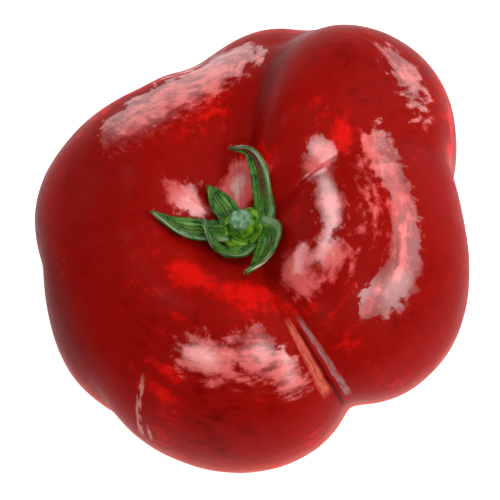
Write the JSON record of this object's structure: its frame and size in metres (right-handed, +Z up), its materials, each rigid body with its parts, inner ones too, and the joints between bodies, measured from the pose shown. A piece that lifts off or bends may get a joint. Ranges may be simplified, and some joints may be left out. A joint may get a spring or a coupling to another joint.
{
  "type": "heirloom tomato",
  "caption": "Ribbed, flattened heirloom tomato resting on its blossom end, with a green calyx and the stub of its stem in a deep hollow.",
  "frame": {"origin": "on the surface the fruit rests on, under the middle of its bounding box", "axes": "+Z up, from the blossom end towards the stem; +Y towards the back, the long way of the fruit; +X to the right, seen from the front"},
  "size_m": [0.0826, 0.09, 0.0571],
  "materials": {
    "tomato_skin": "glossy ripe red skin with fine streaks that run from the stem to the blossom end",
    "sepal_green": "satin dark green leaf with paler edges and fine hairs",
    "cut_stem": "fibrous green stem with a paler cut end"
  },
  "bodies": {
    "root": {"fruit": "tomato_skin", "calyx": "sepal_green", "stem": "cut_stem"}
  },
  "joints": []
}
